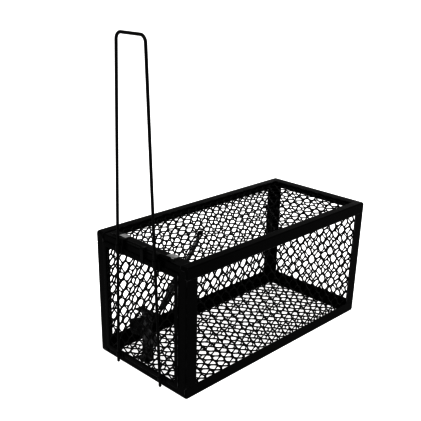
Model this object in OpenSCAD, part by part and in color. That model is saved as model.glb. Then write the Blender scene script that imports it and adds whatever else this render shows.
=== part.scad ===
// Live catch cage trap: a sheet-steel angle frame with six mesh panels, a door that
// hangs from a wire at the top of one end, a tall wire lever clipped to the door,
// a coil spring that pulls the door shut and a bait hook that holds the lever down.
// X runs along the cage with the door at -X, Y runs across it and Z points up. The parts
// are drawn round the middle of the cage's base, and the output moves them along X so that
// the origin is the middle of the base of the whole trap's box.

/* [Cage] */
// Length of the cage
cage_l = 260; // [250:1:275]
// Width of the cage
cage_w = 122; // [116:1:130]
// Height of the cage
cage_h = 128; // [124:1:134]
// Thickness of the frame's sheet steel
sheet_t = 0.8; // [0.6:0.1:0.9]
// Width of a corner post's flange on the long sides
post_side_w = 12; // [10:0.5:13]
// Width of a corner post's flange on the two ends
post_end_w = 9; // [8:0.5:9.5]
// Depth of the upright flange of a roof rail
roof_rail_h = 10; // [8:0.5:10]
// Depth of the upright flange of a floor rail
floor_rail_h = 11.5; // [10:0.5:11.5]
// Width of the flat flange of every rail
rail_flat_w = 10; // [8:0.5:10]

/* [Mesh] */
// Distance between neighbouring cells along a row
cell_pitch = 10.53; // [9.8:0.01:12]
// Distance between rows of cells
row_pitch = 9.35; // [8.8:0.05:11]
// Share of a cell's size that is open
cell_open = 0.855; // [0.8:0.005:0.88]
// Thickness of the mesh
mesh_t = 1.1; // [0.8:0.1:1.2]

/* [Door] */
// Gap between the door and each corner post
door_gap = 0.5; // [0.4:0.1:1]
// Height of the door's top edge
door_top_z = 120.5; // [119:0.5:121]
// Height of the door's bottom edge
door_bottom_z = 7; // [5:0.5:8]
// Width of the door's border
door_border_w = 4.6; // [4:0.1:6]
// Thickness of the door's border
door_t = 1.7; // [1.2:0.1:1.8]
// Distance that the door stands in front of the posts
door_proud = 1; // [0.8:0.1:1.2]

/* [Hinge] */
// Radius of the hinge wire
hinge_wire_r = 1; // [0.8:0.1:1.2]
// Radial play of a loop on the hinge wire
hinge_play = 0.05; // [0.02:0.01:0.08]
// Length of the hinge wire
hinge_wire_l = 88; // [80:1:96]
// Width of a strap that holds the hinge wire on the roof
roof_strap_w = 10; // [8:0.5:12]

/* [Lever] */
// Radius of the lever's wire
lever_r = 1.2; // [1:0.1:1.5]
// Height of the middle of the lever's cross-bar
lever_top_z = 308; // [290:1:320]
// Half the distance between the legs at floor level
lever_foot_y = 30.5; // [28:0.5:32]
// Half the distance between the legs at the cross-bar
lever_head_y = 17.7; // [16:0.1:20]
// Bend radius at the two top corners
lever_bend_r = 6; // [5:0.5:8]
// Gap between the door's face and the lever's legs
lever_gap = 1.1; // [1:0.1:1.6]

/* [Spring] */
// Outside radius of the closing spring
spring_r = 2.5; // [2:0.1:3]
// Radius of the spring's wire
spring_wire_r = 0.5; // [0.4:0.05:0.6]
// Height of the spring's upper hole
spring_anchor_z = 120; // [118:0.5:121]
// Distance of the spring's upper hole from the cage's middle, towards the door
spring_anchor_x = 55; // [50:1:60]
// Height of the spring's lower hole
spring_foot_z = 56; // [52:1:60]
// Distance of the spring's lower hole from the door end of the cage
spring_foot_in = 22; // [20:1:26]

/* [Bait hook] */
// Radius of the bait hook's wire
hook_r = 1; // [0.8:0.1:1.2]
// Depth to which the bait hook hangs below its pivot
hook_drop = 52; // [40:1:60]
// Angle from hanging to holding the lever down
hook_set_angle = 35; // [30:1:40]

/* [Hidden] */
$fn = 32;

half_l = cage_l / 2;
half_w = cage_w / 2;
// Clearance that keeps a sweep cut or a through hole clear of the face it leaves
past = 1;

// Rails lie inside the posts, one sheet in from the cage's outside
rail_l = half_l - sheet_t;
rail_w = half_w - sheet_t;

// The mesh lies inside the upright flanges
side_mesh_y = rail_w - sheet_t - mesh_t;
end_mesh_x = rail_l - sheet_t - mesh_t;
mesh_low_z = 2 * sheet_t;
mesh_high_z = cage_h - 2 * sheet_t;

// The door's faces
door_front_x = -half_l - door_proud;
door_back_x = door_front_x + door_t;
door_half_w = half_w - post_end_w - door_gap;
door_mesh_x = (door_front_x + door_back_x - mesh_t) / 2;

// The hinge axis runs over the front of the roof
strap_bore_r = hinge_wire_r + hinge_play;
strap_outer_r = strap_bore_r + sheet_t;
loop_t = 0.65;
loop_outer_r = strap_bore_r + loop_t;
hinge_x = -half_l + 2.5;
hinge_z = cage_h - sheet_t + strap_outer_r;

// The lever's legs stand in front of the door and taper towards the cross-bar
lever_x = door_front_x - lever_gap - lever_r;
lever_foot_z = lever_r;
lever_slope = (lever_foot_y - lever_head_y) / lever_top_z;
lever_tilt = atan(lever_slope);
clip_bore_r = lever_r + 0.05;

// The roof straps sit just outside the legs
roof_strap_y = 32.5;

// Where the cross-bar lies when the lever is down
bar_down_x = hinge_x + lever_top_z - hinge_z;
bar_down_z = hinge_z + hinge_x - lever_x;

// The bait hook turns on a short wire under the roof mesh
pivot_r = 1;
pivot_x = bar_down_x - 0.5;
pivot_z = mesh_high_z - mesh_t - pivot_r - 0.2;
hook_play = 0.08;
bar_play = 0.15;

// A bent length of wire is a little thicker than a straight one, which runs into it
bend_swell = 0.03;
wire_lap = 0.3;

// The spring's two ends, in the middle plane of the cage
spring_top = [-spring_anchor_x, spring_anchor_z];
spring_foot = [-half_l + spring_foot_in, spring_foot_z];
spring_run = spring_top - spring_foot;
spring_len = norm(spring_run);
spring_angle = atan2(spring_run[0], spring_run[1]);
loop_ring_r = 2.2;
tab_t = 1;
tab_hole_r = 1.3;
tab_end_r = 2.6;

frame_colour = "#141414";
mesh_colour = "#1a1a1a";
wire_colour = "#101010";
steel_colour = "#8a8a8a";

// ---- Shapes that repeat ----

// An angle section of the given length along X, with its outside corner on the X axis,
// one flange along +Y and one along -Z
module angle_bar(length, flat_w, upright_h) {
    rotate([90, 0, 90])
        translate([0, 0, -length / 2])
            linear_extrude(length)
                polygon([
                    [0, 0], [flat_w, 0], [flat_w, -sheet_t],
                    [sheet_t, -sheet_t], [sheet_t, -upright_h], [0, -upright_h]
                ]);
}

// A corner post with its outside corner at the origin and flanges towards +X and +Y
module post() {
    linear_extrude(cage_h)
        polygon([
            [0, 0], [post_side_w, 0], [post_side_w, sheet_t],
            [sheet_t, sheet_t], [sheet_t, post_end_w], [0, post_end_w]
        ]);
}

// One opening of the mesh: the space round a lattice point, drawn smaller by cell_open.
// Its corners are the points equally far from three neighbouring lattice points.
module cell(lean) {
    step = [lean * cell_pitch / 3, row_pitch];
    corner_y = (step * step - cell_pitch * abs(step[0])) / (2 * row_pitch);
    a = [cell_pitch / 2, corner_y];
    b = [lean * (abs(step[0]) - cell_pitch / 2), row_pitch - corner_y];
    c = [-cell_pitch / 2, corner_y];
    polygon(cell_open * [a, b, c, -a, -b, -c]);
}

// A flat panel of mesh in the XY plane from the origin, with leaning rows of cells.
// One cell is centred on the point called centre.
module mesh_sheet(size_u, size_v, lean, centre, rim = 1) {
    reach_u = cell_open * cell_pitch / 2 + rim;
    reach_v = cell_open * row_pitch * 0.65 + rim;
    rows = ceil(size_v / row_pitch);
    cells = ceil(size_u / cell_pitch) + rows;
    linear_extrude(mesh_t)
        difference() {
            square([size_u, size_v]);
            for (row = [-rows:rows], column = [-cells:cells]) {
                u = centre[0] + (column + lean * row / 3) * cell_pitch;
                v = centre[1] + row * row_pitch;
                inside_u = u > reach_u && u < size_u - reach_u;
                inside_v = v > reach_v && v < size_v - reach_v;
                if (inside_u && inside_v) translate([u, v]) cell(lean);
            }
        }
}

// A ring of sheet round the hinge wire, centred on the hinge axis from y0 to y1
module hinge_ring(outer_r, y0, y1) {
    translate([hinge_x, y1, hinge_z])
        rotate([90, 0, 0])
            difference() {
                cylinder(r = outer_r, h = y1 - y0);
                translate([0, 0, -past]) cylinder(r = strap_bore_r, h = y1 - y0 + 2 * past);
            }
}

// A box given by its lowest and highest corners
module block(low, high) {
    translate(low) cube(high - low);
}

// Half the distance between the lever's legs at height z
function leg_y(z) = lever_foot_y - lever_slope * z;

// Half the distance between the centres of the lever's two top corners
function lever_corner_y() =
    leg_y(lever_top_z - lever_bend_r) - lever_bend_r / cos(lever_tilt);

// A point at a distance from a centre, at an angle from the first axis towards the second
function polar(centre, distance, angle) =
    centre + distance * [cos(angle), sin(angle)];

// ---- Frame ----

module post_door_left() {
    color(frame_colour) translate([-half_l, half_w, 0]) mirror([0, 1, 0]) post();
}

module post_door_right() {
    color(frame_colour) translate([-half_l, -half_w, 0]) post();
}

module post_rear_left() {
    color(frame_colour) translate([half_l, half_w, 0]) rotate([0, 0, 180]) post();
}

module post_rear_right() {
    color(frame_colour) translate([half_l, -half_w, 0]) mirror([1, 0, 0]) post();
}

module side_roof_rail() {
    translate([0, -rail_w, cage_h]) angle_bar(2 * rail_l, rail_flat_w, roof_rail_h);
}

module side_floor_rail() {
    translate([0, -rail_w, 0])
        mirror([0, 0, 1])
            angle_bar(2 * rail_l, rail_flat_w, floor_rail_h);
}

// The end rails stop inside the side rails and lie one sheet lower or higher
module end_roof_rail() {
    translate([-rail_l, 0, cage_h - sheet_t])
        rotate([0, 0, -90])
            angle_bar(2 * (rail_w - sheet_t), rail_flat_w, roof_rail_h - sheet_t);
}

module end_floor_rail() {
    translate([-rail_l, 0, sheet_t])
        mirror([0, 0, 1])
            rotate([0, 0, -90])
                angle_bar(2 * (rail_w - sheet_t), rail_flat_w, floor_rail_h - sheet_t);
}

module roof_rail_left() {
    color(frame_colour) mirror([0, 1, 0]) side_roof_rail();
}

module roof_rail_right() {
    color(frame_colour) side_roof_rail();
}

module roof_rail_door() {
    color(frame_colour) end_roof_rail();
}

module roof_rail_rear() {
    color(frame_colour) mirror([1, 0, 0]) end_roof_rail();
}

module floor_rail_left() {
    color(frame_colour) mirror([0, 1, 0]) side_floor_rail();
}

module floor_rail_right() {
    color(frame_colour) side_floor_rail();
}

module floor_rail_door() {
    color(frame_colour) end_floor_rail();
}

module floor_rail_rear() {
    color(frame_colour) mirror([1, 0, 0]) end_floor_rail();
}

// ---- Mesh panels ----

roof_mesh_l = 2 * end_mesh_x + 2 * mesh_t;
roof_mesh_w = 2 * side_mesh_y;
side_mesh_h = mesh_high_z - mesh_low_z;
end_mesh_h = side_mesh_h - 2 * mesh_t;

// The roof's mesh has a slot that the bait hook's stem swings in
module mesh_roof() {
    slot_x = [pivot_x - 3.6, pivot_x + 11];
    slot_half_w = 2.4;
    low_z = mesh_high_z - mesh_t;
    color(mesh_colour)
        difference() {
            translate([-roof_mesh_l / 2, -roof_mesh_w / 2, low_z])
                mesh_sheet(roof_mesh_l, roof_mesh_w, -1,
                    [roof_mesh_l / 2 + pivot_x + 1, roof_mesh_w / 2]);
            block([slot_x[0], -slot_half_w, low_z - past], [slot_x[1], slot_half_w, mesh_high_z + past]);
        }
}

module mesh_floor() {
    color(mesh_colour)
        translate([-roof_mesh_l / 2, -roof_mesh_w / 2, mesh_low_z])
            mesh_sheet(roof_mesh_l, roof_mesh_w, 1, [roof_mesh_l / 2, roof_mesh_w / 2]);
}

module mesh_left() {
    color(mesh_colour)
        translate([-roof_mesh_l / 2, side_mesh_y + mesh_t, mesh_low_z])
            rotate([90, 0, 0])
                mesh_sheet(roof_mesh_l, side_mesh_h, -1, [roof_mesh_l / 2, side_mesh_h / 2]);
}

module mesh_right() {
    color(mesh_colour)
        translate([-roof_mesh_l / 2, -side_mesh_y, mesh_low_z])
            rotate([90, 0, 0])
                mesh_sheet(roof_mesh_l, side_mesh_h, 1, [roof_mesh_l / 2, side_mesh_h / 2]);
}

module mesh_rear() {
    color(mesh_colour)
        translate([end_mesh_x, -roof_mesh_w / 2, mesh_low_z + mesh_t])
            rotate([90, 0, 90])
                mesh_sheet(roof_mesh_w, end_mesh_h, 1, [roof_mesh_w / 2, end_mesh_h / 2]);
}

// ---- Hinge ----

module hinge_wire() {
    color(wire_colour)
        translate([hinge_x, hinge_wire_l / 2, hinge_z])
            rotate([90, 0, 0])
                cylinder(r = hinge_wire_r, h = hinge_wire_l);
}

// A strap rolled round the hinge wire, with a foot welded on the roof rail
module roof_strap() {
    y0 = roof_strap_y - roof_strap_w / 2;
    y1 = roof_strap_y + roof_strap_w / 2;
    foot_z = cage_h - sheet_t;
    foot_end_x = -rail_l + rail_flat_w;
    hinge_ring(strap_outer_r, y0, y1);
    difference() {
        block([hinge_x, y0, foot_z], [foot_end_x, y1, foot_z + sheet_t]);
        translate([hinge_x, y1 + past, hinge_z])
            rotate([90, 0, 0])
                cylinder(r = strap_bore_r, h = roof_strap_w + 2 * past);
    }
}

module roof_strap_left() {
    color(steel_colour) roof_strap();
}

module roof_strap_right() {
    color(steel_colour) mirror([0, 1, 0]) roof_strap();
}

// A strip from the door's top border that goes up and rolls round the hinge wire.
// ring_y is its span on the wire and plate_y its span on the door.
module door_loop(ring_y, plate_y) {
    plate_x = door_front_x - loop_t;
    top_z = hinge_z + loop_outer_r;
    hinge_ring(loop_outer_r, ring_y[0], ring_y[1]);
    block([plate_x, ring_y[0], top_z - loop_t], [hinge_x, ring_y[1], top_z]);
    block([plate_x, ring_y[0], cage_h - 2], [door_front_x, ring_y[1], top_z]);
    block([plate_x, plate_y[0], door_top_z - door_border_w],
        [door_front_x, plate_y[1], cage_h - 2]);
}

loop_in_y = 20;
loop_ring_out_y = roof_strap_y - roof_strap_w / 2 - 0.7;
loop_plate_out_y = 31;

module door_loop_left() {
    color(frame_colour) door_loop([loop_in_y, loop_ring_out_y], [loop_in_y, loop_plate_out_y]);
}

module door_loop_right() {
    color(frame_colour) mirror([0, 1, 0])
        door_loop([loop_in_y, loop_ring_out_y], [loop_in_y, loop_plate_out_y]);
}

module door_loop_middle() {
    color(frame_colour) door_loop([-7.5, -3.5], [-7.5, -3.5]);
}

// ---- Door ----

module door_border_top() {
    color(frame_colour)
        block([door_front_x, -door_half_w, door_top_z - door_border_w],
            [door_back_x, door_half_w, door_top_z]);
}

module door_border_bottom() {
    color(frame_colour)
        block([door_front_x, -door_half_w, door_bottom_z],
            [door_back_x, door_half_w, door_bottom_z + door_border_w]);
}

module door_border_side() {
    block([door_front_x, door_half_w - door_border_w, door_bottom_z + door_border_w],
        [door_back_x, door_half_w, door_top_z - door_border_w]);
}

module door_border_left() {
    color(frame_colour) door_border_side();
}

module door_border_right() {
    color(frame_colour) mirror([0, 1, 0]) door_border_side();
}

door_mesh_w = 2 * (door_half_w - door_border_w);
door_mesh_low_z = door_bottom_z + door_border_w;
door_mesh_h = door_top_z - door_border_w - door_mesh_low_z;

module door_mesh() {
    color(mesh_colour)
        translate([door_mesh_x, -door_mesh_w / 2, door_mesh_low_z])
            rotate([90, 0, 90])
                mesh_sheet(door_mesh_w, door_mesh_h, 1, [door_mesh_w / 2, door_mesh_h / 2], 0);
}

// ---- Door strut and spring bracket ----

strut_in = 9;
strut_x = -half_l + strut_in;
strut_half_w = 7.5;
strut_low_z = 14;
strut_high_z = 66;

// A channel that stands off the inside of the door: a web with a foot at each end
module door_strut() {
    back_x = door_mesh_x + mesh_t;
    y0 = -strut_half_w;
    y1 = strut_half_w;
    color(frame_colour) {
        block([strut_x - sheet_t, y0, strut_low_z], [strut_x, y1, strut_high_z]);
        block([back_x, y0, strut_low_z], [strut_x, y1, strut_low_z + sheet_t]);
        block([back_x, y0, strut_high_z - sheet_t], [strut_x, y1, strut_high_z]);
    }
}

// A plate with two leaf-shaped wings, and a tab with a hole for the spring
module spring_bracket() {
    wing_z = 38;
    wing_h = 8;
    long_wing_y = 24;
    short_wing_y = -9;
    color(frame_colour) {
        translate([strut_x, 0, wing_z])
            rotate([90, 0, 90])
                linear_extrude(sheet_t)
                    polygon([
                        [short_wing_y - 4, -2], [short_wing_y, -wing_h], [6, -wing_h / 2],
                        [long_wing_y, -wing_h], [long_wing_y + 4, -wing_h / 2], [long_wing_y, 0],
                        [long_wing_y + 4, wing_h / 2], [long_wing_y, wing_h],
                        [4, spring_foot_z - wing_z], [-4, spring_foot_z - wing_z],
                        [short_wing_y, wing_h]
                    ]);
        translate([0, tab_t / 2, 0])
            rotate([90, 0, 0])
                linear_extrude(tab_t)
                    difference() {
                        union() {
                            translate([strut_x + sheet_t, spring_foot_z - 9])
                                square([spring_foot[0] - strut_x - sheet_t, 9 + tab_end_r]);
                            translate(spring_foot) circle(r = tab_end_r);
                        }
                        translate(spring_foot) circle(r = tab_hole_r);
                        translate([spring_foot[0], spring_foot_z - 9 - tab_end_r])
                            circle(r = 9);
                    }
    }
}

// ---- Lever ----

// One side of the lever: a leg that leans inwards and a rounded top corner
module lever_side() {
    bend_z = lever_top_z - lever_bend_r;
    foot = [leg_y(lever_foot_z), lever_foot_z];
    run = polar([lever_corner_y(), bend_z], lever_bend_r, lever_tilt) - foot;
    translate([lever_x, foot[0], foot[1]])
        rotate([lever_tilt, 0, 0])
            cylinder(r = lever_r, h = norm(run) + wire_lap);
    translate([lever_x, lever_corner_y(), bend_z])
        rotate([90, 0, 90])
            rotate([0, 0, lever_tilt])
                rotate_extrude(angle = 90 - lever_tilt)
                    translate([lever_bend_r, 0])
                        circle(r = lever_r + bend_swell);
}

// The lever is one wire: two tapering legs joined by a cross-bar with rounded corners
module lever() {
    bar_half_l = lever_corner_y() + wire_lap;
    color(wire_colour) {
        lever_side();
        mirror([0, 1, 0]) lever_side();
        translate([lever_x, bar_half_l, lever_top_z])
            rotate([90, 0, 0])
                cylinder(r = lever_r, h = 2 * bar_half_l);
    }
}

// A saddle of sheet bent over a leg: a half ring, two sides and two feet, centred on
// the leg at height z, standing on a face at x = seat_x
module clip(seat_x, z, length) {
    outer = clip_bore_r + sheet_t;
    stand = seat_x - lever_x;
    foot = 5;
    translate([lever_x, leg_y(z), z])
        rotate([lever_tilt, 0, 0])
            translate([0, 0, -length / 2])
                linear_extrude(length)
                    difference() {
                        union() {
                            circle(r = outer);
                            translate([0, -outer]) square([stand, 2 * outer]);
                            translate([stand - sheet_t, -foot]) square([sheet_t, 2 * foot]);
                        }
                        circle(r = clip_bore_r);
                        translate([0, -clip_bore_r]) square([stand + past, 2 * clip_bore_r]);
                    }
}

clip_top_z = 121;
clip_bottom_z = door_bottom_z + door_border_w / 2;
clip_top_l = 8;
clip_bottom_l = 4.2;

module clip_top_left() {
    color(frame_colour) clip(door_front_x - loop_t, clip_top_z, clip_top_l);
}

module clip_top_right() {
    color(frame_colour) mirror([0, 1, 0]) clip(door_front_x - loop_t, clip_top_z, clip_top_l);
}

module clip_bottom_left() {
    color(frame_colour) clip(door_front_x, clip_bottom_z, clip_bottom_l);
}

module clip_bottom_right() {
    color(frame_colour) mirror([0, 1, 0]) clip(door_front_x, clip_bottom_z, clip_bottom_l);
}

// ---- Spring ----

// Places a child that is drawn along +Z from the spring's lower hole to its upper hole
module along_spring() {
    translate([spring_foot[0], 0, spring_foot[1]]) rotate([0, spring_angle, 0]) children();
}

// A round eye that passes through a tab's hole at height z, with its middle at side * its radius
module eye(z, side) {
    translate([0, 0, z + side * loop_ring_r])
        rotate([0, 90, 0])
            rotate_extrude()
                translate([loop_ring_r, 0])
                    circle(r = spring_wire_r, $fn = 16);
}

coil_start = 2 * loop_ring_r + spring_wire_r;

// The coils as one tube of their outside size, with the upper eye
module closing_spring() {
    color(steel_colour) along_spring() {
        translate([0, 0, coil_start])
            difference() {
                cylinder(r = spring_r, h = spring_len - 2 * coil_start);
                translate([0, 0, -past])
                    cylinder(r = spring_r - 2 * spring_wire_r, h = spring_len);
            }
        eye(spring_len, -1);
        translate([0, 0, spring_len - coil_start])
            cylinder(r = spring_r, h = 2 * spring_wire_r);
    }
}

module spring_lower_loop() {
    color(steel_colour) along_spring() eye(0, 1);
}

// A tab that hangs under the roof mesh and takes the spring's upper eye
module spring_anchor() {
    color(frame_colour)
        translate([0, tab_t / 2, 0])
            rotate([90, 0, 0])
                linear_extrude(tab_t)
                    difference() {
                        union() {
                            translate(spring_top) circle(r = tab_end_r);
                            translate([spring_top[0] - tab_end_r, spring_top[1]])
                                square([2 * tab_end_r, mesh_high_z - mesh_t - spring_top[1]]);
                        }
                        translate(spring_top) circle(r = tab_hole_r);
                    }
}

// ---- Bait hook ----

pivot_half_l = 9;
tab_w = 2;

module hook_pivot_wire() {
    color(wire_colour)
        translate([pivot_x, pivot_half_l, pivot_z])
            rotate([90, 0, 0])
                cylinder(r = pivot_r, h = 2 * pivot_half_l);
}

// Two tabs under the roof mesh that carry the pivot wire's ends, round below and flat above
module hook_pivot_tabs() {
    tab_r = pivot_r + 1.5;
    top_z = mesh_high_z - mesh_t - pivot_z;
    color(frame_colour)
        for (side = [-1, 1])
            translate([pivot_x, side * (pivot_half_l - tab_w / 2 - 1) + tab_w / 2, pivot_z])
                rotate([90, 0, 0])
                    linear_extrude(tab_w)
                        difference() {
                            intersection() {
                                union() {
                                    circle(r = tab_r);
                                    translate([-tab_r, 0]) square([2 * tab_r, tab_r]);
                                }
                                translate([-tab_r, -tab_r]) square([2 * tab_r, tab_r + top_z]);
                            }
                            circle(r = pivot_r + 0.03);
                        }
}

// A straight length of hook wire in the middle plane, from a towards b
module hook_wire(a, b) {
    run = b - a;
    translate([a[0], 0, a[1]])
        rotate([0, atan2(run[0], run[1]), 0])
            cylinder(r = hook_r, h = norm(run) + wire_lap);
}

// A bend of hook wire in the middle plane. Its angles are measured from +X towards +Z
module hook_bend(centre, bend_r, from, turn) {
    translate([centre[0], 0, centre[1]])
        rotate([90, 0, 0])
            rotate([0, 0, from])
                rotate_extrude(angle = turn)
                    translate([bend_r, 0])
                        circle(r = hook_r + bend_swell);
}

// The hook is one wire: a nose that curls over the cross-bar, a stem, an eye round the
// pivot wire, a long arm and an upturned point for the bait. The stem and the nose are
// drawn where they hold the cross-bar, then turned to where they are as the hook hangs
module bait_hook() {
    eye_wire_r = hook_r + 0.05;
    eye_r = pivot_r + hook_play + eye_wire_r;
    bar = [bar_down_x - pivot_x, bar_down_z - pivot_z];
    nose_r = lever_r + bar_play + hook_r;
    stem_angle = atan2(bar[1], bar[0]) - asin(nose_r / norm(bar));
    stem_end = polar(bar, nose_r, stem_angle - 90);
    nose_turn = 130;
    nose_l = 1.5;
    nose_angle = stem_angle - 90 + nose_turn;
    nose_end = polar(bar, nose_r, nose_angle);
    crook_r = 5;
    crook_z = -hook_drop + crook_r;
    point_l = 7;
    color(wire_colour)
        translate([pivot_x, 0, pivot_z]) {
            rotate([90, 0, 0])
                rotate_extrude()
                    translate([eye_r, 0])
                        circle(r = eye_wire_r);
            rotate([0, hook_set_angle, 0]) {
                hook_wire(polar([0, 0], eye_r, stem_angle), stem_end);
                hook_bend(bar, nose_r, stem_angle - 90, nose_turn);
                hook_wire(polar(nose_end, nose_l, nose_angle + 90), nose_end);
            }
            hook_wire([0, -eye_r], [0, crook_z]);
            hook_bend([-crook_r, crook_z], crook_r, -180, 180);
            hook_wire([-2 * crook_r, crook_z + point_l], [-2 * crook_r, crook_z]);
        }
}

// ---- Output ----

// Half the difference between how far the trap reaches to the rear and to the front
front_x = lever_x - clip_bore_r - sheet_t;
place_x = -(half_l + front_x) / 2;

translate([place_x, 0, 0]) {
    post_door_left();
    post_door_right();
    post_rear_left();
    post_rear_right();
    roof_rail_left();
    roof_rail_right();
    roof_rail_door();
    roof_rail_rear();
    floor_rail_left();
    floor_rail_right();
    floor_rail_door();
    floor_rail_rear();
    mesh_roof();
    mesh_floor();
    mesh_left();
    mesh_right();
    mesh_rear();
    hinge_wire();
    roof_strap_left();
    roof_strap_right();
    spring_anchor();
    hook_pivot_wire();
    hook_pivot_tabs();
    door_border_top();
    door_border_bottom();
    door_border_left();
    door_border_right();
    door_mesh();
    door_strut();
    spring_bracket();
    door_loop_left();
    door_loop_middle();
    door_loop_right();
    lever();
    clip_top_left();
    clip_top_right();
    clip_bottom_left();
    clip_bottom_right();
    closing_spring();
    spring_lower_loop();
    bait_hook();
}
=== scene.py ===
"""Looks for the live catch cage trap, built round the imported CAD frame. Lengths are in metres."""

from math import atan2, cos, pi, radians, sin, sqrt, tan

import bmesh
import bpy
from mathutils import Matrix, Vector, noise

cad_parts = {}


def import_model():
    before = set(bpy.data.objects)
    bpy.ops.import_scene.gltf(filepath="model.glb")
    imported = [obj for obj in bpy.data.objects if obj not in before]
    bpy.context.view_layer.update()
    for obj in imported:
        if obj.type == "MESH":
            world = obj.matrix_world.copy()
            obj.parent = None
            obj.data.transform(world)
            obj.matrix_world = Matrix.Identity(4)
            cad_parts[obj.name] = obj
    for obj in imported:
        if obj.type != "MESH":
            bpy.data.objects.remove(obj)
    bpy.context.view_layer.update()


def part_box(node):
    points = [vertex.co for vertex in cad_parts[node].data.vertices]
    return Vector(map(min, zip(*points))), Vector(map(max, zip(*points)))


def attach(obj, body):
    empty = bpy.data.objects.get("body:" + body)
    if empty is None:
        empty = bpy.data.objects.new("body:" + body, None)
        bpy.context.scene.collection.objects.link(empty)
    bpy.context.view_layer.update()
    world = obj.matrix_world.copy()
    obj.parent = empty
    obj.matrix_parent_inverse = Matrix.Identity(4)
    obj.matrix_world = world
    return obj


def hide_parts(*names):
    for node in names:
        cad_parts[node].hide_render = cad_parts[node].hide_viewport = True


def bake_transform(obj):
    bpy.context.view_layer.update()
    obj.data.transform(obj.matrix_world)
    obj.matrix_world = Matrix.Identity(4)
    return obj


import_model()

MM = 0.001
X, Y, Z = 0, 1, 2


# ---- Materials ----

NOISE_LOW, NOISE_HIGH = 0.3, 0.7
PEEL_DEPTH = 0.1 * MM
GRAIN_DEPTH = 0.04 * MM
METALLIC = 0.85
FLOOR_GLOW = 0.85


def link(tree, source, target):
    tree.links.new(source, target)


def noise_node(tree, coords, scale, detail, roughness=0.5):
    """A noise pattern. Scale is in features per metre."""
    node = tree.nodes.new("ShaderNodeTexNoise")
    node.inputs["Scale"].default_value = scale
    node.inputs["Detail"].default_value = detail
    node.inputs["Roughness"].default_value = roughness
    link(tree, coords, node.inputs["Vector"])
    return node.outputs["Fac"]


def ramp_node(tree, fac, stops):
    """A colour ramp. Each stop is a place and a colour or a grey."""
    node = tree.nodes.new("ShaderNodeValToRGB")
    node.color_ramp.elements[0].position = stops[0][0]
    node.color_ramp.elements[1].position = stops[-1][0]
    for _ in stops[1:-1]:
        node.color_ramp.elements.new(0.5)
    for element, (position, colour) in zip(node.color_ramp.elements, stops):
        element.position = position
        element.color = (*colour, 1) if isinstance(colour, tuple) else (colour, colour, colour, 1)
    link(tree, fac, node.inputs["Fac"])
    return node.outputs["Color"]


def range_node(tree, value, low, high):
    """Spreads the middle of a noise between two values."""
    node = tree.nodes.new("ShaderNodeMapRange")
    node.inputs["From Min"].default_value = NOISE_LOW
    node.inputs["From Max"].default_value = NOISE_HIGH
    node.inputs["To Min"].default_value = low
    node.inputs["To Max"].default_value = high
    link(tree, value, node.inputs["Value"])
    return node.outputs["Result"]


def mix_node(tree, fac, a, b):
    node = tree.nodes.new("ShaderNodeMix")
    node.data_type = "RGBA"
    link(tree, fac, node.inputs["Factor"])
    link(tree, a, node.inputs["A"])
    link(tree, b, node.inputs["B"])
    return node.outputs["Result"]


def new_material(name):
    """A node material with its tree, its shader and the coordinates that its patterns use."""
    mat = bpy.data.materials.new(name)
    mat.use_nodes = True
    tree = mat.node_tree
    shader = tree.nodes["Principled BSDF"]
    coords = tree.nodes.new("ShaderNodeTexCoord").outputs["Object"]
    return mat, tree, shader, coords


def bump(tree, shader, height, strength, distance):
    node = tree.nodes.new("ShaderNodeBump")
    node.inputs["Strength"].default_value = strength
    node.inputs["Distance"].default_value = distance
    link(tree, height, node.inputs["Height"])
    link(tree, node.outputs["Normal"], shader.inputs["Normal"])


def paint(name, shade, gloss, peel, specular, worn=0.0):
    """Black paint on steel: a cloudy tone, orange peel, dust, and bare metal where edges wear."""
    mat, tree, shader, coords = new_material(name)
    cloud = noise_node(tree, coords, 45, 4, 0.6)
    tone = ramp_node(tree, cloud, [(0.3, shade), (0.7, shade * 2.2)])
    dust = noise_node(tree, coords, 420, 5, 0.7)
    specks = ramp_node(tree, dust, [(0.62, 0.0), (0.78, 1.0)])
    dusty = ramp_node(tree, cloud, [(0.0, shade * 3.0), (1.0, shade * 5.0)])
    colour = mix_node(tree, specks, tone, dusty)
    if worn:
        edges = tree.nodes.new("ShaderNodeNewGeometry").outputs["Pointiness"]
        rubbed = ramp_node(tree, edges, [(0.53, 0.0), (0.60, worn)])
        patchy = ramp_node(tree, noise_node(tree, coords, 160, 6, 0.7), [(0.45, 0.0), (0.6, 1.0)])
        gate = tree.nodes.new("ShaderNodeMath")
        gate.operation = "MULTIPLY"
        link(tree, rubbed, gate.inputs[0])
        link(tree, patchy, gate.inputs[1])
        steel = ramp_node(tree, cloud, [(0.3, (0.16, 0.16, 0.165)), (0.7, (0.24, 0.24, 0.245))])
        colour = mix_node(tree, gate.outputs["Value"], colour, steel)
    link(tree, colour, shader.inputs["Base Color"])
    smear = noise_node(tree, coords, 90, 6, 0.65)
    link(tree, range_node(tree, smear, gloss - 0.08, gloss + 0.1), shader.inputs["Roughness"])
    shader.inputs["Specular IOR Level"].default_value = specular
    bump(tree, shader, noise_node(tree, coords, 900, 2), peel, PEEL_DEPTH)
    return mat


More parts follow.
